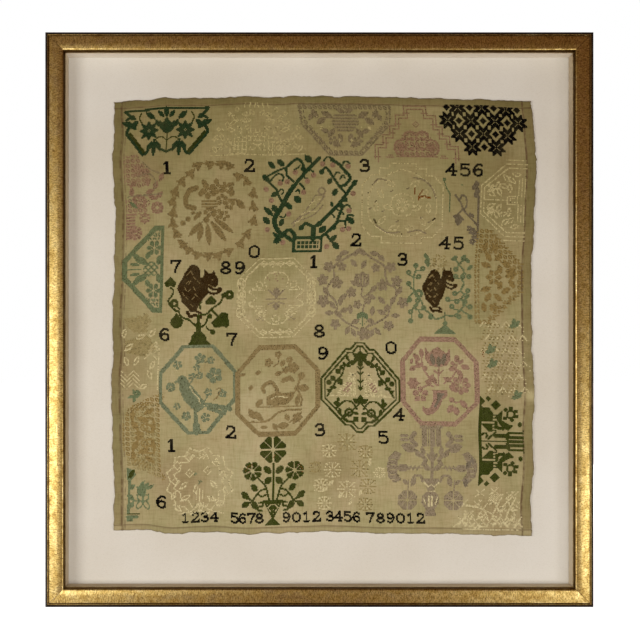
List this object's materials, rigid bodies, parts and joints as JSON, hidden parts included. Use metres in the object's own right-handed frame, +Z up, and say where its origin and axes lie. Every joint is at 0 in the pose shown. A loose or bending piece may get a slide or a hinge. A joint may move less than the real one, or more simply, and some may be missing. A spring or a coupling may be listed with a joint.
{
  "type": "framed cross stitch sampler in a gilt picture frame",
  "caption": "Square stitched cloth sampler with hemmed uneven edges, mounted on a cream board inside a mitred gilt picture frame.",
  "frame": {"origin": "on the ground under the middle of the bottom rail, halfway through the frame's depth", "axes": "+Z up the frame, -Y out of the stitched face, +Y out of the back towards the wall, +X to the right as the face is seen"},
  "size_m": [0.432, 0.03, 0.453],
  "materials": {
    "gilt_moulding": "wood moulding, gilded, rubbed and toned over a dark ground, with a black outer side",
    "spacer_paper": "paper-faced board strips, matte",
    "cream_board": "smooth matte cream mount board",
    "aged_linen": "plain-woven linen, aged to olive buff, with silk cross stitch",
    "backing_card": "plain grey-brown card, matte"
  },
  "bodies": {
    "root": {"rail_top": "gilt_moulding", "rail_bottom": "gilt_moulding", "rail_left": "gilt_moulding", "rail_right": "gilt_moulding", "spacer_top": "spacer_paper", "spacer_bottom": "spacer_paper", "spacer_left": "spacer_paper", "spacer_right": "spacer_paper", "mount_board": "cream_board", "sampler_cloth": "aged_linen", "back_board": "backing_card"}
  },
  "joints": []
}
